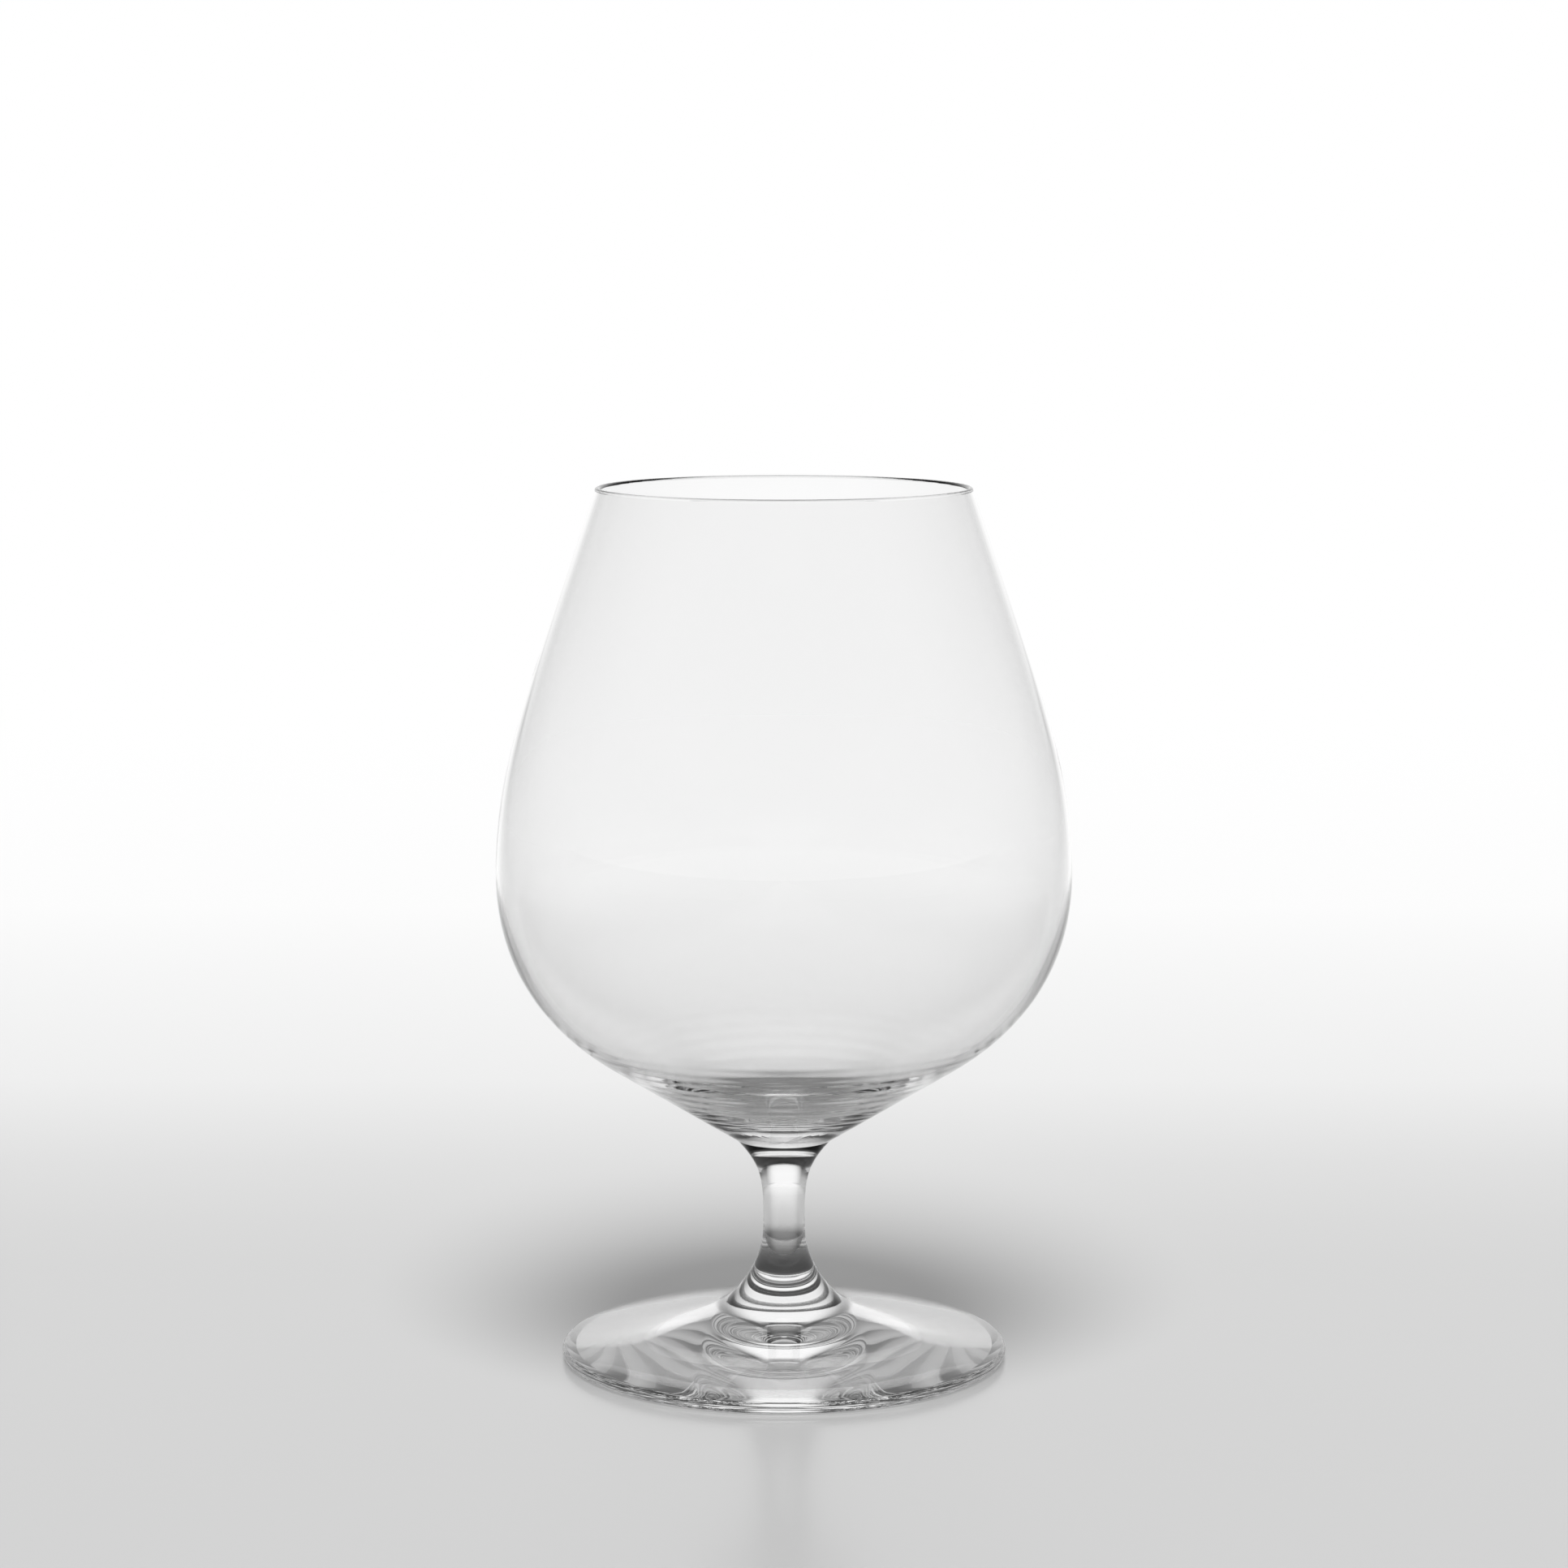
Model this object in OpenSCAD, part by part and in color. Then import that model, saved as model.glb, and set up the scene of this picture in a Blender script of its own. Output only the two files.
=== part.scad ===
// Brandy snifter: a wide bowl drawn in to a narrow mouth, a short drawn stem and a round spread foot.
// Three gathers of clear glass, fused hot end to end at two flat joints.
// Lengths are in millimetres and angles in degrees. Everything is turned about Z, and the foot rests on Z = 0.

/* [Heights] */
// Height of the lip above the table
total_h = 145; // [140:0.5:152]
// Height of the widest ring of the bowl
belly_z = 81.4; // [78:0.2:86]
// Height of the fused joint between bowl and stem
bowl_joint_z = 36.7; // [34:0.1:39]
// Height of the thinnest ring of the stem
waist_z = 22; // [20:0.2:24]
// Height of the fused joint between stem and foot
foot_joint_z = 8.2; // [7.6:0.1:9.2]

/* [Diameters] */
// Outside diameter of the lip
lip_d = 61.7; // [56:0.5:66]
// Outside diameter of the bowl at its widest ring
belly_d = 94.9; // [90:0.5:102]
// Diameter where the straight underside of the bowl ends
underside_d = 58.6; // [54:0.5:62]
// Diameter of the fused joint between bowl and stem
bowl_joint_d = 16; // [14:0.2:18]
// Diameter of the stem at its thinnest ring
waist_d = 6.94; // [6:0.1:9]
// Diameter of the fused joint between stem and foot
foot_joint_d = 23.2; // [21:0.1:25]
// Outside diameter of the foot
foot_d = 74.2; // [68:0.5:82]

/* [Bowl wall] */
// Thickness of the rounded lip
lip_wall = 0.96; // [0.8:0.05:1.4]
// Thickness of the wall at the widest ring
belly_wall = 0.9; // [0.8:0.05:1.4]
// Thickness of the wall where the straight underside ends
underside_wall = 1.45; // [1.1:0.05:1.8]
// Thickness of the solid glass over the joint with the stem
bottom_wall = 5.2; // [4.2:0.1:6.2]

/* [Bowl outline] */
// Lean of the shoulder from upright at the lip
shoulder_angle = 18.7; // [16:0.1:21]
// How far the shoulder keeps its lean below the lip
shoulder_reach = 34.9; // [30:0.5:38]
// How far the wall stays upright above the widest ring
belly_rise = 17.8; // [15:0.2:20]
// How far the wall stays upright below the widest ring
belly_fall = 13.2; // [11:0.2:15]
// Slope of the straight underside above level
underside_angle = 31.8; // [29:0.1:34]
// How far the curve above the straight underside keeps its slope, as a share of the width it has to gain
underside_share = 0.793; // [0.65:0.01:0.95]
// Slope of the inside above level where the straight underside ends
inside_angle = 30.6; // [29:0.1:33]
// How far the inside keeps that slope upwards, as a share of the width it has to gain
inside_share = 0.88; // [0.75:0.01:1]
// How far the inside stays upright below the widest ring
inside_fall = 10; // [8:0.1:12]
// How far the inside keeps that slope downwards
hollow_reach = 20.8; // [17:0.2:21]
// How far the bottom of the hollow stays level around the axis
bottom_reach = 17.2; // [12:0.2:18]

/* [Stem outline] */
// Slope of the neck below level at the bowl
neck_angle = 46.4; // [42:0.1:52]
// How far the neck keeps its slope
neck_reach = 6.7; // [5:0.1:8]
// How far the stem stays upright above its thinnest ring
waist_rise = 7.2; // [5:0.1:9]
// How far the stem stays upright below its thinnest ring
waist_fall = 7.5; // [6:0.1:9]
// Slope above level that the flare and the top of the foot share where they are fused
flare_angle = 18; // [15:0.1:24]
// How far the flare keeps its slope
flare_reach = 2.4; // [1.6:0.1:3.2]

/* [Foot outline] */
// Thickness of the rounded edge of the foot
edge_t = 2.05; // [1.6:0.05:2.8]
// Slope of the top of the foot at its edge
edge_angle = 15.8; // [12:0.1:17]
// How far the top keeps the slope of its edge
edge_reach = 14.6; // [13:0.1:18]
// How far the top keeps the slope it shares with the flare
root_reach = 3.6; // [2:0.1:5]
// Width of the flat ring the foot rests on
rest_w = 1.8; // [1.2:0.1:4]
// Rise of the hollow under the foot at its centre
kick_h = 3.4; // [2:0.1:4.4]
// How far the hollow under the foot stays level around the axis
kick_reach = 16; // [10:0.5:18]
// Slope of the hollow under the foot where it meets the flat ring
kick_angle = 8; // [4:0.5:11]
// How far the hollow under the foot keeps that slope
kick_fall = 10; // [8:0.5:14]

/* [Finish] */
// Straight stretches in each drawn curve
curve_steps = 14; // [8:1:20]
// Straight stretches in each small rounded edge
edge_steps = 6; // [4:1:10]

/* [Hidden] */
lip_r = lip_wall / 2;
edge_r = edge_t / 2;
under_r = underside_d / 2;
rest_r = foot_d / 2 - edge_r - rest_w;

// Rings of the bowl, each a point at its radius and height
bowl_ring = [bowl_joint_d / 2, bowl_joint_z];
under_out = [under_r, bowl_joint_z + (under_r - bowl_joint_d / 2) * tan(underside_angle)];
under_in = toward(under_out, underside_wall, underside_angle + 90);
belly_out = [belly_d / 2, belly_z];
belly_in = [belly_d / 2 - belly_wall, belly_z];
lip_out = [lip_d / 2, total_h - lip_r];
lip_mid = [lip_d / 2 - lip_r, total_h - lip_r];
lip_in = [lip_d / 2 - lip_wall, total_h - lip_r];
hollow_low = [0, bowl_joint_z + bottom_wall];
underside_reach = underside_share * (belly_out[0] - under_out[0]);
inside_reach = inside_share * (belly_in[0] - under_in[0]);

// Rings of the stem
waist_ring = [waist_d / 2, waist_z];
foot_ring = [foot_joint_d / 2, foot_joint_z];

// Rings of the foot, and the top of the hollow under it
edge_mid = [foot_d / 2 - edge_r, edge_r];
edge_top = toward(edge_mid, edge_r, 90 - edge_angle);
rest_ring = [rest_r, 0];
kick_top = [0, kick_h];

// Point that lies a length away from p in the direction of an angle above level
function toward(p, length, angle) = p + length * [cos(angle), sin(angle)];

// Points of a smooth curve from a to d, pulled by b and c, without its first point
function drawn(a, b, c, d) = [
    for (i = [1:curve_steps])
        let (t = i / curve_steps, s = 1 - t)
            a * s * s * s + b * 3 * s * s * t + c * 3 * s * t * t + d * t * t * t
];

// Points of a circle about m, from one angle to another, with both ends
function round_about(m, r, from, to, steps) = [
    for (i = [0:steps]) toward(m, r, from + (to - from) * i / steps)
];

function backwards(points) = [for (i = [len(points) - 1:-1:0]) points[i]];

// Outside of the bowl, from the stem up to the lip
bowl_outside = concat(
    [bowl_ring, under_out],
    drawn(
        under_out,
        toward(under_out, underside_reach, underside_angle),
        belly_out - [0, belly_fall],
        belly_out
    ),
    drawn(
        belly_out,
        belly_out + [0, belly_rise],
        toward(lip_out, shoulder_reach, shoulder_angle - 90),
        lip_out
    )
);

// Inside of the bowl, from the bottom of the hollow up to the lip
bowl_inside = concat(
    [hollow_low],
    drawn(
        hollow_low,
        hollow_low + [bottom_reach, 0],
        toward(under_in, hollow_reach, inside_angle + 180),
        under_in
    ),
    drawn(
        under_in,
        toward(under_in, inside_reach, inside_angle),
        belly_in - [0, inside_fall],
        belly_in
    ),
    drawn(
        belly_in,
        belly_in + [0, belly_rise],
        toward(lip_in, shoulder_reach, shoulder_angle - 90),
        lip_in
    )
);

// Outside of the stem, from the foot up to the bowl
stem_outside = concat(
    [foot_ring],
    drawn(
        foot_ring,
        toward(foot_ring, flare_reach, 180 - flare_angle),
        waist_ring - [0, waist_fall],
        waist_ring
    ),
    drawn(
        waist_ring,
        waist_ring + [0, waist_rise],
        toward(bowl_ring, neck_reach, neck_angle + 180),
        bowl_ring
    )
);

// Solid turned about Z from an outline that starts and ends on the axis
module turned(outline) {
    rotate_extrude($fn = 96)
        polygon(outline);
}

// Thin blown bowl with a rounded lip and a thicker bottom over the stem
module bowl() {
    color([0.86, 0.93, 0.95, 0.5])
        turned(concat(
            [[0, bowl_joint_z]],
            bowl_outside,
            round_about(lip_mid, lip_r, 180 / edge_steps, 180 - 180 / edge_steps, edge_steps - 2),
            backwards(bowl_inside)
        ));
}

// Solid stem, spread at both ends to meet the bowl and the foot
module stem() {
    color([0.80, 0.90, 0.94, 0.6])
        turned(concat(
            [[0, foot_joint_z]],
            stem_outside,
            [[0, bowl_joint_z]]
        ));
}

// Spread foot with a rounded edge, hollowed under its centre to stand on a flat ring
module foot() {
    color([0.78, 0.88, 0.92, 0.6])
        turned(concat(
            [kick_top],
            drawn(
                kick_top,
                kick_top + [kick_reach, 0],
                toward(rest_ring, kick_fall, 180 - kick_angle),
                rest_ring
            ),
            round_about(edge_mid, edge_r, -90, 90 - edge_angle, edge_steps),
            drawn(
                edge_top,
                toward(edge_top, edge_reach, 180 - edge_angle),
                toward(foot_ring, root_reach, -flare_angle),
                foot_ring
            ),
            [[0, foot_joint_z]]
        ));
}

bowl();
stem();
foot();
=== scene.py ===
import math
import bpy
import numpy as np
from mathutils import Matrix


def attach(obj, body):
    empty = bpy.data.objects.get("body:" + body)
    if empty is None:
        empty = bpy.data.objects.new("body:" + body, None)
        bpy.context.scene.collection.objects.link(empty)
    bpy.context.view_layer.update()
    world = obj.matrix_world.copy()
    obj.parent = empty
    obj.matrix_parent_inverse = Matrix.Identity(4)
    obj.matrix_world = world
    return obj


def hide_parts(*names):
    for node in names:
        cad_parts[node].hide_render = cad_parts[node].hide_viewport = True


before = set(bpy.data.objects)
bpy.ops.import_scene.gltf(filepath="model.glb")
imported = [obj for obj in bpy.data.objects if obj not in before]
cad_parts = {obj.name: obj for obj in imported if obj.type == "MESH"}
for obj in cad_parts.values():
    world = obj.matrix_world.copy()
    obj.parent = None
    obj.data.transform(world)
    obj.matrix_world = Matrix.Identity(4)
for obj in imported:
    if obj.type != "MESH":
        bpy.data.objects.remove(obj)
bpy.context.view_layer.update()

# Driving sizes of the glass in millimetres and degrees, as in the solids
TOTAL_H = 145
BELLY_Z = 81.4
BOWL_JOINT_Z = 36.7
WAIST_Z = 22
FOOT_JOINT_Z = 8.2
LIP_D = 61.7
BELLY_D = 94.9
UNDERSIDE_D = 58.6
BOWL_JOINT_D = 16
WAIST_D = 6.94
FOOT_JOINT_D = 23.2
FOOT_D = 74.2
LIP_WALL = 0.96
BELLY_WALL = 0.9
UNDERSIDE_WALL = 1.45
BOTTOM_WALL = 5.2
SHOULDER_ANGLE = 18.7
SHOULDER_REACH = 34.9
BELLY_RISE = 17.8
BELLY_FALL = 13.2
UNDERSIDE_ANGLE = 31.8
UNDERSIDE_SHARE = 0.793
INSIDE_ANGLE = 30.6
INSIDE_SHARE = 0.88
INSIDE_FALL = 10
HOLLOW_REACH = 20.8
BOTTOM_REACH = 17.2
NECK_ANGLE = 46.4
NECK_REACH = 6.7
WAIST_RISE = 7.2
WAIST_FALL = 7.5
FLARE_ANGLE = 18
FLARE_REACH = 2.4
EDGE_T = 2.05
EDGE_ANGLE = 15.8
EDGE_REACH = 14.6
ROOT_REACH = 3.6
REST_W = 1.8
KICK_H = 3.4
KICK_REACH = 16
KICK_ANGLE = 8
KICK_FALL = 10

# Fineness of the turned meshes: faces round the axis, and stretches in a curve, in a waved curve, in a
# straight run and in a rounded edge
AROUND = 240
CURVE_STEPS = 56
WAVE_STEPS = 96
STRAIGHT_STEPS = 12
EDGE_STEPS = 24
# Angle in degrees over which a crease stays sharp
SHARP_ANGLE = 6.5

# Heights at which the waves inside the bottom of the bowl have faded out, and below which they are whole
WAVE_TOP_Z = 58.5
WAVE_FULL_Z = 50.5
# Waves that blowing left there: turns round the axis, waves per millimetre of height, depth in millimetres
WAVES = [
    (0, 0.63, 0.013),
    (5, 0.030, 0.010),
    (9, 0.30, 0.006),
    (23, 0.21, 0.004),
    (37, 0.10, 0.004),
]

# Glass, and the size and depth in millimetres of the faint unevenness of its surface
CRYSTAL_IOR = 1.52
WAVE_SIZE = 14
WAVE_DEPTH = 0.010
# Share of the lamp's light that each face of the bowl, and of the stem and foot, lets through to the floor
BOWL_THROUGH = 0.22
FOOT_THROUGH = 0.85

# Camera, worked out from the photograph's outline of the glass: width and focal length in its pixels
PHOTO_PX = 1932
FOCAL_PX = 5100
# Width of the sensor in millimetres
SENSOR_W = 36
# Distance from the axis of the glass and height above the floor, in heights of the glass
CAMERA_BACK = 4.652
CAMERA_UP = 1.306
# Degrees that the camera looks down
CAMERA_PITCH = 7.87
# Nearest distance that the camera shows, in millimetres
CLIP_START = 10

# Floor: radius in millimetres, corners of its rim, and drop below the glass in millimetres
FLOOR_R = 12000
FLOOR_CORNERS = 96
FLOOR_DROP = 0.1
# Greys of the floor by the distance behind the glass in millimetres: darker towards the camera, held darker
# near the glass as painted shade, and growing to white far behind
FLOOR_TONES_WITH_PAINTED_SHADE = [
    (-320, 0.50),
    (-140, 0.62),
    (60, 0.62),
    (90, 0.64),
    (140, 0.70),
    (220, 0.85),
    (450, 1.0),
]
# Painted shade that multiplies them, darkening the floor by the tangent of the angle to the side of the
# camera
PAINTED_SIDE_SHADE = [(0, 1.0), (0.19, 1.0), (0.38, 0.56), (1.0, 0.52)]
# Share of the grey that takes the lamp's light, while the rest glows by itself
FLOOR_LIT_SHARE = 0.95
FLOOR_ROUGHNESS = 0.22
FLOOR_GLOSS = 0.5
# Distances behind the glass between which the floor turns into an even sweep that only glows
SWEEP_FROM = 250
SWEEP_FULL = 900

# Greys of the dim room and of the white panel behind the glass, by degrees above level
ROOM_TONES = [(0, 0.51), (8, 0.46), (18, 0.21), (30, 0.06), (90, 0.02)]
PANEL_TONES = [(0, 1.0), (41, 1.0), (49, 0.10), (90, 0.05)]
# Degrees to either side within which the panel is whole, and at which it has faded into the room
PANEL_FULL = 11
PANEL_END = 36

# Strengths of the even fill light and of the lamp, and the lamp's spread and tilt in degrees
FILL_LIGHT = 0.08
LAMP_LIGHT = 2.88
LAMP_SPREAD = 30
LAMP_TILT = 24

# Metres in a millimetre
MM = 0.001
WHITE = (1, 1, 1, 1)
BLACK = (0, 0, 0, 1)
# Multiplied by this, a direction keeps only its level part
LEVEL = (1, 1, 0)
# Numbers of the colour sockets of a Mix node
MIX_A = 6
MIX_B = 7
MIX_RESULT = 2
# Light has to cross many faces of glass before it leaves
BOUNCES = 48


def toward(point, length, angle):
    """Point that lies a length away in the direction of an angle above level."""
    a = math.radians(angle)
    return np.array(point, float) + length * np.array([math.cos(a), math.sin(a)])


def drawn(a, b, c, d, steps=CURVE_STEPS):
    """Points of a smooth curve from a to d, pulled by b and c, without its first point."""
    t = (np.arange(1, steps + 1) / steps)[:, None]
    s = 1 - t
    a, b, c, d = (np.array(point, float) for point in (a, b, c, d))
    return a * s**3 + b * 3 * s * s * t + c * 3 * s * t * t + d * t**3


def straight(a, b):
    """Points of the line from a to b, without a."""
    t = (np.arange(1, STRAIGHT_STEPS + 1) / STRAIGHT_STEPS)[:, None]
    return np.array(a) + (np.array(b) - np.array(a)) * t


def round_about(middle, radius, start, end):
    """Points of a circle from one angle to another, with both ends."""
    turns = np.arange(EDGE_STEPS + 1) / EDGE_STEPS
    return np.array([toward(middle, radius, start + (end - start) * turn) for turn in turns])


# Rings shared by the pieces, each a point at its radius and height
BOWL_RING = np.array([BOWL_JOINT_D / 2, BOWL_JOINT_Z])
FOOT_RING = np.array([FOOT_JOINT_D / 2, FOOT_JOINT_Z])
ON_BOWL_AXIS = np.array([0, BOWL_JOINT_Z])
ON_FOOT_AXIS = np.array([0, FOOT_JOINT_Z])


def shoulder(belly, lip):
    """Curve of one side of the wall from its widest ring up to the lip."""
    return drawn(belly, belly + [0, BELLY_RISE], toward(lip, SHOULDER_REACH, SHOULDER_ANGLE - 90), lip)


def bowl_outline():
    """Closed outline of the bowl from the joint, up the outside, over the lip and down the inside."""
    lip_r = LIP_WALL / 2
    run = (UNDERSIDE_D - BOWL_JOINT_D) / 2
    under_out = BOWL_RING + [run, run * math.tan(math.radians(UNDERSIDE_ANGLE))]
    under_in = toward(under_out, UNDERSIDE_WALL, UNDERSIDE_ANGLE + 90)
    belly_out = np.array([BELLY_D / 2, BELLY_Z])
    belly_in = belly_out - [BELLY_WALL, 0]
    lip_out = np.array([LIP_D / 2, TOTAL_H - lip_r])
    lip_in = lip_out - [LIP_WALL, 0]
    low = ON_BOWL_AXIS + [0, BOTTOM_WALL]
    under_out_pull = toward(under_out, UNDERSIDE_SHARE * (belly_out[0] - under_out[0]), UNDERSIDE_ANGLE)
    under_in_pull = toward(under_in, INSIDE_SHARE * (belly_in[0] - under_in[0]), INSIDE_ANGLE)
    hollow_pull = toward(under_in, HOLLOW_REACH, INSIDE_ANGLE + 180)
    outside = np.vstack([
        straight(BOWL_RING, under_out),
        drawn(under_out, under_out_pull, belly_out - [0, BELLY_FALL], belly_out),
        shoulder(belly_out, lip_out),
    ])
    inside = np.vstack([
        drawn(low, low + [BOTTOM_REACH, 0], hollow_pull, under_in, WAVE_STEPS),
        drawn(under_in, under_in_pull, belly_in - [0, INSIDE_FALL], belly_in, WAVE_STEPS),
        shoulder(belly_in, lip_in),
    ])
    lip = round_about(lip_out - [lip_r, 0], lip_r, 0, 180)[1:-1]
    return np.vstack([ON_BOWL_AXIS, BOWL_RING, outside, lip, inside[::-1], low])


def stem_outline():
    """Closed outline of the stem from the foot up to the bowl."""
    waist = np.array([WAIST_D / 2, WAIST_Z])
    flare_pull = toward(FOOT_RING, FLARE_REACH, 180 - FLARE_ANGLE)
    neck_pull = toward(BOWL_RING, NECK_REACH, NECK_ANGLE + 180)
    return np.vstack([
        ON_FOOT_AXIS,
        FOOT_RING,
        drawn(FOOT_RING, flare_pull, waist - [0, WAIST_FALL], waist),
        drawn(waist, waist + [0, WAIST_RISE], neck_pull, BOWL_RING),
        ON_BOWL_AXIS,
    ])


def foot_outline():
    """Closed outline of the foot from the top of the hollow under it, round its edge and up to the stem."""
    edge_r = EDGE_T / 2
    middle = np.array([FOOT_D / 2 - edge_r, edge_r])
    edge_top = toward(middle, edge_r, 90 - EDGE_ANGLE)
    edge_pull = toward(edge_top, EDGE_REACH, 180 - EDGE_ANGLE)
    root_pull = toward(FOOT_RING, ROOT_REACH, -FLARE_ANGLE)
    rest = np.array([FOOT_D / 2 - edge_r - REST_W, 0])
    kick_top = np.array([0, KICK_H])
    return np.vstack([
        kick_top,
        drawn(kick_top, kick_top + [KICK_REACH, 0], toward(rest, KICK_FALL, 180 - KICK_ANGLE), rest),
        round_about(middle, edge_r, -90, 90 - EDGE_ANGLE),
        drawn(edge_top, edge_pull, root_pull, FOOT_RING),
        ON_FOOT_AXIS,
    ])


def blown_waves(height, turn):
    """Rise of the bowl's inner wall in millimetres: waves, each with its own phase, that fade out upwards."""
    fade = min(max((WAVE_TOP_Z - height) / (WAVE_TOP_Z - WAVE_FULL_Z), 0), 1)
    total = 0
    for i, (turns, per_height, depth) in enumerate(WAVES, 1):
        total += depth * math.sin(turns * turn + i) * math.sin(2 * math.pi * per_height * height + 2 * i)
    return fade * total


def turned_points(outline, waves_from):
    """Points of an outline turned about Z, waved from one of its points on, and the numbers in each ring."""
    slopes = np.gradient(outline, axis=0)
    points = []
    rings = []
    for i, (radius, height) in enumerate(outline):
        if radius == 0:
            rings.append([len(points)])
            points.append((0, 0, height * MM))
            continue
        rings.append(range(len(points), len(points) + AROUND))
        across = np.array([slopes[i][1], -slopes[i][0]])
        across /= np.linalg.norm(across)
        for k in range(AROUND):
            turn = 2 * math.pi * k / AROUND
            rise = blown_waves(height, turn) if waves_from is not None and i >= waves_from else 0
            r = (radius + rise * across[0]) * MM
            points.append((r * math.cos(turn), r * math.sin(turn), (height + rise * across[1]) * MM))
    return points, rings


def turned_faces(rings):
    """Faces between neighbouring rings, and for each face the number of the ring it starts from."""
    faces = []
    starts = []
    for i, (low, high) in enumerate(zip(rings, rings[1:])):
        for k in range(AROUND):
            j = (k + 1) % AROUND
            if len(low) == 1:
                faces.append((low[0], high[j], high[k]))
            elif len(high) == 1:
                faces.append((low[k], low[j], high[0]))
            else:
                faces.append((low[k], low[j], high[j], high[k]))
            starts.append(i)
    return faces, starts


def turned(name, outline, joints, waves_from=None):
    """Mesh turned about Z from an outline in millimetres. Stretches in joints get the second material."""
    points, rings = turned_points(outline, waves_from)
    faces, starts = turned_faces(rings)
    mesh = bpy.data.meshes.new(name)
    mesh.from_pydata(points, [], faces)
    mesh.polygons.foreach_set("material_index", [int(start in joints) for start in starts])
    mesh.update()
    mesh.shade_smooth()
    mesh.set_sharp_from_angle(angle=math.radians(SHARP_ANGLE))
    piece = bpy.data.objects.new(name, mesh)
    bpy.context.collection.objects.link(piece)
    return piece


def new_material(name):
    """Empty material with its node tree."""
    material = bpy.data.materials.new(name)
    material.use_nodes = True
    material.node_tree.nodes.clear()
    return material, material.node_tree


def added(tree, kind, inputs=None, **settings):
    """New node with its settings, and its inputs, by name or number, fed by a socket or set to a value."""
    node = tree.nodes.new(kind)
    for setting, value in settings.items():
        setattr(node, setting, value)
    for place, value in (inputs or {}).items():
        if isinstance(value, bpy.types.NodeSocket):
            tree.links.new(value, node.inputs[place])
        else:
            node.inputs[place].default_value = value
    return node


def calculated(tree, operation, *values):
    """Socket with the result of an operation on one or two values, each a socket or a number."""
    return added(tree, "ShaderNodeMath", dict(enumerate(values)), operation=operation).outputs[0]


def maximum(tree, sockets):
    """Socket with the largest of several values."""
    result = sockets[0]
    for socket in sockets[1:]:
        result = calculated(tree, "MAXIMUM", result, socket)
    return result


def mixed_colour(tree, share, a, b, blend="MIX"):
    """Socket with a mix of two colours, from a to b as the share grows."""
    inputs = {0: share, MIX_A: a, MIX_B: b}
    return added(tree, "ShaderNodeMix", inputs, data_type="RGBA", blend_type=blend).outputs[MIX_RESULT]


def mixed_shader(tree, share, a, b):
    """Socket with a mix of two shaders, from a to b as the share grows."""
    return added(tree, "ShaderNodeMixShader", {0: share, 1: a.outputs[0], 2: b.outputs[0]}).outputs[0]


def tones(tree, value, stops):
    """Socket with a grey that follows the stops, each a place on the value and a brightness."""
    low, high = stops[0][0], stops[-1][0]
    span = added(tree, "ShaderNodeMapRange", {"Value": value, "From Min": low, "From Max": high})
    ramp = added(tree, "ShaderNodeValToRGB", {0: span.outputs[0]})
    elements = ramp.color_ramp.elements
    while len(elements) < len(stops):
        elements.new(1.0)
    for element, (place, tone) in zip(elements, stops):
        element.position = (place - low) / (high - low)
        element.color = (tone, tone, tone, 1)
    return ramp.outputs[0]


def faded(tree, value, start, end):
    """Socket that grows smoothly from 0 to 1 while a value goes from the start to the end."""
    inputs = {"Value": value, "From Min": start, "From Max": end}
    return added(tree, "ShaderNodeMapRange", inputs, interpolation_type="SMOOTHSTEP").outputs[0]


def ray_kinds(tree, kinds):
    """Socket that is 1 for rays of the named kinds."""
    path = tree.nodes.new("ShaderNodeLightPath")
    return maximum(tree, [path.outputs[kind] for kind in kinds])


def seen_rays(tree):
    """Socket that is 1 for rays that show the background: from the camera, by gloss or through glass."""
    return ray_kinds(tree, ("Is Camera Ray", "Is Glossy Ray", "Is Transmission Ray"))


def crystal(name, light_through):
    """Clear blown glass, faintly uneven, with a share of the lamp's light let through at each face."""
    material, tree = new_material(name)
    place = tree.nodes.new("ShaderNodeTexCoord").outputs["Object"]
    noise = added(tree, "ShaderNodeTexNoise", {"Vector": place, "Scale": 1 / (WAVE_SIZE * MM), "Detail": 1})
    uneven = {"Height": noise.outputs[0], "Strength": 1, "Distance": WAVE_DEPTH * MM}
    bump = added(tree, "ShaderNodeBump", uneven)
    glass = added(tree, "ShaderNodeBsdfPrincipled", {
        "Base Color": WHITE,
        "Roughness": 0,
        "IOR": CRYSTAL_IOR,
        "Transmission Weight": 1,
        "Normal": bump.outputs[0],
    })
    tint = (light_through, light_through, light_through, 1)
    through = added(tree, "ShaderNodeBsdfTransparent", {"Color": tint})
    surface = mixed_shader(tree, ray_kinds(tree, ("Is Shadow Ray", "Is Diffuse Ray")), glass, through)
    added(tree, "ShaderNodeOutputMaterial", {"Surface": surface})
    return material


def fused():
    """Face inside the glass where two pieces are fused, which doesn't show."""
    material, tree = new_material("fused_joint")
    through = tree.nodes.new("ShaderNodeBsdfTransparent")
    added(tree, "ShaderNodeOutputMaterial", {"Surface": through.outputs[0]})
    return material


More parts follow.
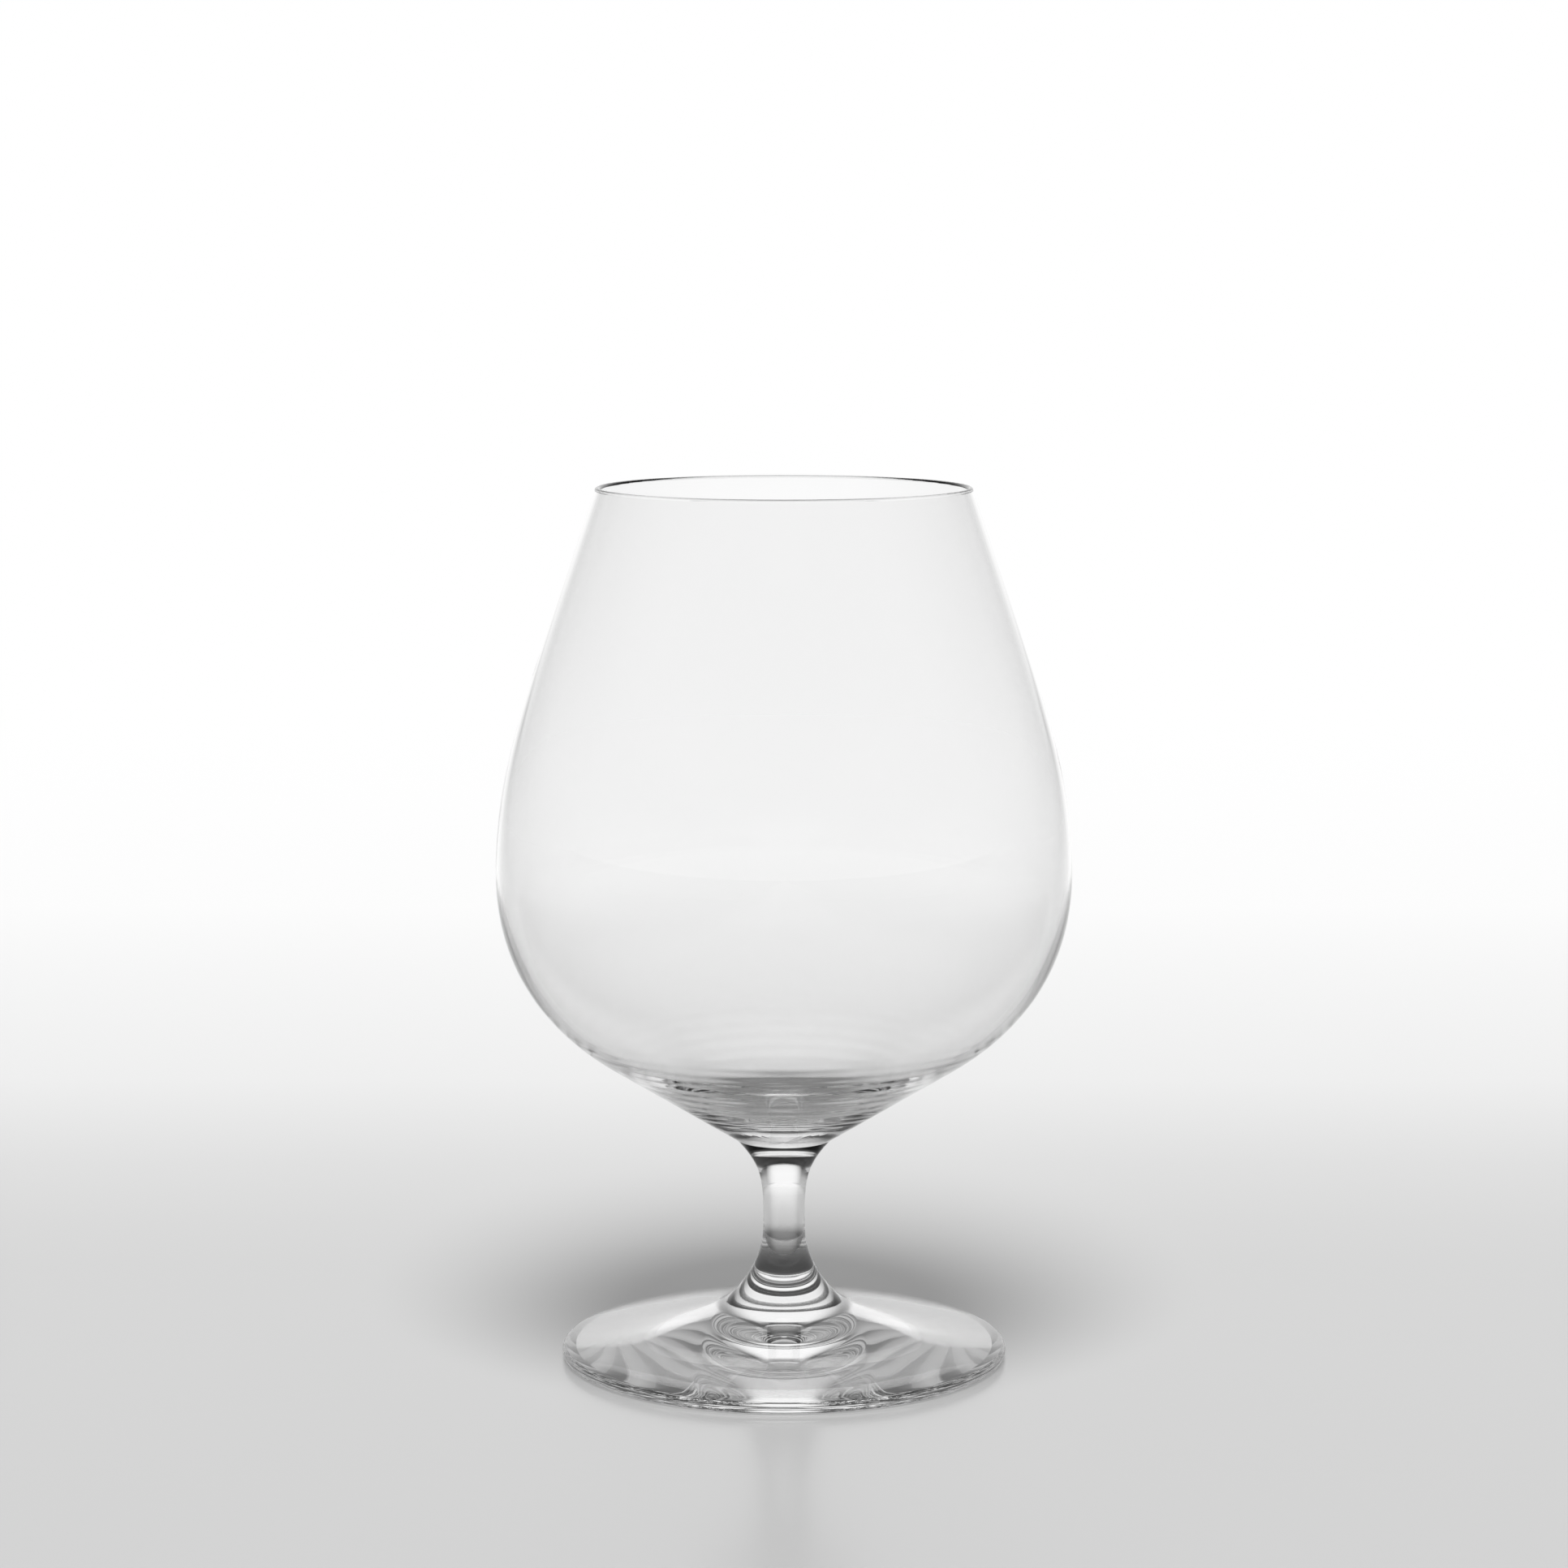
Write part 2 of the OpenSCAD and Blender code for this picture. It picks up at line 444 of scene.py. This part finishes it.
def glass_pieces():
    """Bowl, stem and foot, each in place of its solid."""
    blown = crystal("blown_crystal", BOWL_THROUGH)
    drawn_out = crystal("drawn_crystal", FOOT_THROUGH)
    joint = fused()
    bowl = bowl_outline()
    stem = stem_outline()
    foot = foot_outline()
    # The inside starts half a rounded edge past the top of the lip
    inside_from = int(bowl[:, 1].argmax()) + EDGE_STEPS // 2
    made = {
        "bowl": turned("bowl_glass", bowl, [0], inside_from),
        "stem": turned("stem_glass", stem, [0, len(stem) - 2]),
        "foot": turned("foot_glass", foot, [len(foot) - 2]),
    }
    for node, piece in made.items():
        piece.data.materials.append(blown if node == "bowl" else drawn_out)
        piece.data.materials.append(joint)
        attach(piece, "root")
        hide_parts(node)
    for node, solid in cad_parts.items():
        solid.data.materials.clear()
        solid.data.materials.append(blown if node == "bowl" else drawn_out)


def floor_tone_with_painted_shade(tree, across, behind):
    """Socket with the floor's grey, which grows to white behind the glass, with painted shade near the glass
    and to the sides.
    """
    depth = calculated(tree, "ADD", calculated(tree, "MAXIMUM", behind, 0), CAMERA_BACK * TOTAL_H * MM)
    beside = calculated(tree, "DIVIDE", calculated(tree, "ABSOLUTE", across), depth)
    # Painted shade: the floor is held darker near the glass and multiplied darker to the sides
    along = tones(tree, behind, [(distance * MM, tone) for distance, tone in FLOOR_TONES_WITH_PAINTED_SHADE])
    return mixed_colour(tree, 1, along, tones(tree, beside, PAINTED_SIDE_SHADE), "MULTIPLY")


def pale_board():
    """Plain pale floor with the lamp's shadow and painted shade near the glass, which turns into an even
    white sweep far behind it.
    """
    material, tree = new_material("pale_floor")
    place = tree.nodes.new("ShaderNodeTexCoord").outputs["Object"]
    parts = added(tree, "ShaderNodeSeparateXYZ", {0: place})
    behind = parts.outputs["Y"]
    tone = floor_tone_with_painted_shade(tree, parts.outputs["X"], behind)
    board = added(tree, "ShaderNodeBsdfPrincipled", {
        "Base Color": mixed_colour(tree, FLOOR_LIT_SHARE, BLACK, tone),
        "Roughness": FLOOR_ROUGHNESS,
        "Specular IOR Level": FLOOR_GLOSS,
        "Emission Color": tone,
        "Emission Strength": calculated(tree, "MULTIPLY", seen_rays(tree), 1 - FLOOR_LIT_SHARE),
    })
    sweep = added(tree, "ShaderNodeEmission", {"Color": tone, "Strength": seen_rays(tree)})
    surface = mixed_shader(tree, faded(tree, behind, SWEEP_FROM * MM, SWEEP_FULL * MM), board, sweep)
    added(tree, "ShaderNodeOutputMaterial", {"Surface": surface})
    return material


def floor():
    """Flat round floor, just below the glass."""
    turn = 2 * math.pi / FLOOR_CORNERS
    reach = FLOOR_R * MM
    rim = [(reach * math.cos(turn * k), reach * math.sin(turn * k), 0) for k in range(FLOOR_CORNERS)]
    faces = [(0, 1 + k, 1 + (k + 1) % FLOOR_CORNERS) for k in range(FLOOR_CORNERS)]
    mesh = bpy.data.meshes.new("floor")
    mesh.from_pydata([(0, 0, 0)] + rim, [], faces)
    mesh.materials.append(pale_board())
    sheet = bpy.data.objects.new("floor", mesh)
    sheet.location.z = -FLOOR_DROP * MM
    bpy.context.collection.objects.link(sheet)


def by_height(stops):
    """Stops for the upward part of a direction, from stops in degrees above level."""
    return [(math.sin(math.radians(angle)), tone) for angle, tone in stops]


def surroundings(tree):
    """Socket with the grey of the dim room and of the white panel behind the glass."""
    way = tree.nodes.new("ShaderNodeTexCoord").outputs["Generated"]
    up = added(tree, "ShaderNodeSeparateXYZ", {0: way}).outputs["Z"]
    level = added(tree, "ShaderNodeVectorMath", {0: way, 1: LEVEL}, operation="MULTIPLY")
    heading = added(tree, "ShaderNodeVectorMath", {0: level.outputs[0]}, operation="NORMALIZE")
    behind = added(tree, "ShaderNodeSeparateXYZ", {0: heading.outputs[0]}).outputs["Y"]
    edge = faded(tree, behind, math.cos(math.radians(PANEL_END)), math.cos(math.radians(PANEL_FULL)))
    room = tones(tree, up, by_height(ROOM_TONES))
    panel = tones(tree, up, by_height(PANEL_TONES))
    return mixed_colour(tree, edge, room, panel)


def studio():
    """White panel behind the glass in a dim room, and an even fill light."""
    world = bpy.data.worlds.new("studio")
    bpy.context.scene.world = world
    world.use_nodes = True
    tree = world.node_tree
    tree.nodes.clear()
    fill = added(tree, "ShaderNodeBackground", {"Color": WHITE, "Strength": FILL_LIGHT})
    shown = added(tree, "ShaderNodeBackground", {"Color": surroundings(tree)})
    added(tree, "ShaderNodeOutputWorld", {"Surface": mixed_shader(tree, seen_rays(tree), fill, shown)})


def soft_lamp():
    """Broad soft light from above, which lays the faint shadow of the glass on the floor."""
    lamp = bpy.data.lights.new("overhead", "SUN")
    lamp.energy = LAMP_LIGHT
    lamp.angle = math.radians(LAMP_SPREAD)
    holder = bpy.data.objects.new("overhead", lamp)
    holder.rotation_euler = (math.radians(LAMP_TILT), 0, 0)
    holder.visible_camera = False
    holder.visible_glossy = False
    holder.visible_transmission = False
    bpy.context.collection.objects.link(holder)


def camera():
    """Camera at the photograph's place, with its angle of view."""
    lens = bpy.data.cameras.new("camera")
    lens.sensor_width = SENSOR_W
    lens.lens = SENSOR_W * FOCAL_PX / PHOTO_PX
    lens.clip_start = CLIP_START * MM
    holder = bpy.data.objects.new("camera", lens)
    holder.location = (0, -CAMERA_BACK * TOTAL_H * MM, CAMERA_UP * TOTAL_H * MM)
    holder.rotation_euler = (math.radians(90 - CAMERA_PITCH), 0, 0)
    bpy.context.collection.objects.link(holder)
    bpy.context.scene.camera = holder


def light_paths():
    """Enough bounces for the light to cross all the glass, and no bright specks from it on the floor."""
    cycles = bpy.context.scene.cycles
    cycles.max_bounces = BOUNCES
    cycles.transmission_bounces = BOUNCES
    cycles.glossy_bounces = BOUNCES
    cycles.transparent_max_bounces = BOUNCES
    cycles.caustics_refractive = False
    cycles.caustics_reflective = False


glass_pieces()
floor()
studio()
soft_lamp()
camera()
light_paths()
bpy.context.scene.view_settings.view_transform = "Standard"
